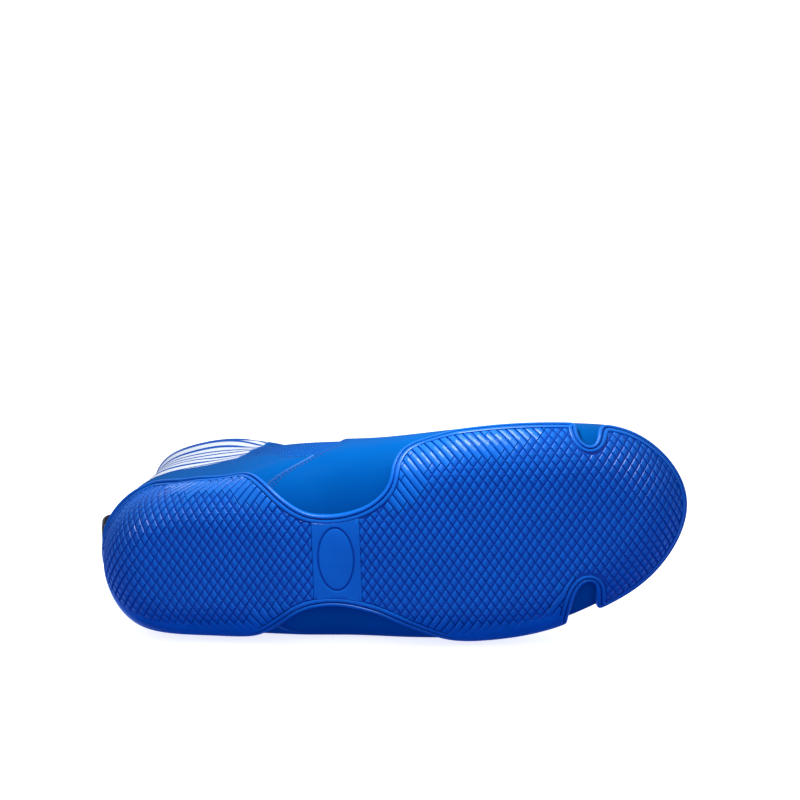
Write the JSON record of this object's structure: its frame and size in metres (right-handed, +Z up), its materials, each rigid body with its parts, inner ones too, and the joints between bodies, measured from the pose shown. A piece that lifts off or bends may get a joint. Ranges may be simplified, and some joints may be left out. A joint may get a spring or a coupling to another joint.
{
  "type": "boxing shoe",
  "caption": "Light ankle-high boxing shoe with a wrapped rubber sole, leather panels and flat lacing, lying empty on its outer side with the tread in view",
  "frame": {"origin": "on the floor, under the middle of the lying shoe's box", "axes": "+X towards the toe, the tread faces -Y, the collar opens towards +Y, +Z up out of the medial side"},
  "size_m": [0.289, 0.147, 0.1075],
  "materials": {
    "rubber": "satin gum rubber",
    "textile": "smooth coated textile",
    "leather": "soft gloss fine grain",
    "lining": "brushed knit",
    "webbing": "woven tape",
    "lace": "flat braid"
  },
  "bodies": {
    "root": {"outsole": "rubber", "upper": "textile", "forefoot_overlay": "leather", "heel_overlay": "leather", "eyestay": "leather", "heel_strip": "webbing", "tongue": "lining", "insole": "lining", "lace_bar": "lace", "lace_crossing_1": "lace", "lace_crossing_2": "lace", "lace_crossing_3": "lace", "lace_crossing_4": "lace", "lace_crossing_5": "lace"}
  },
  "joints": []
}
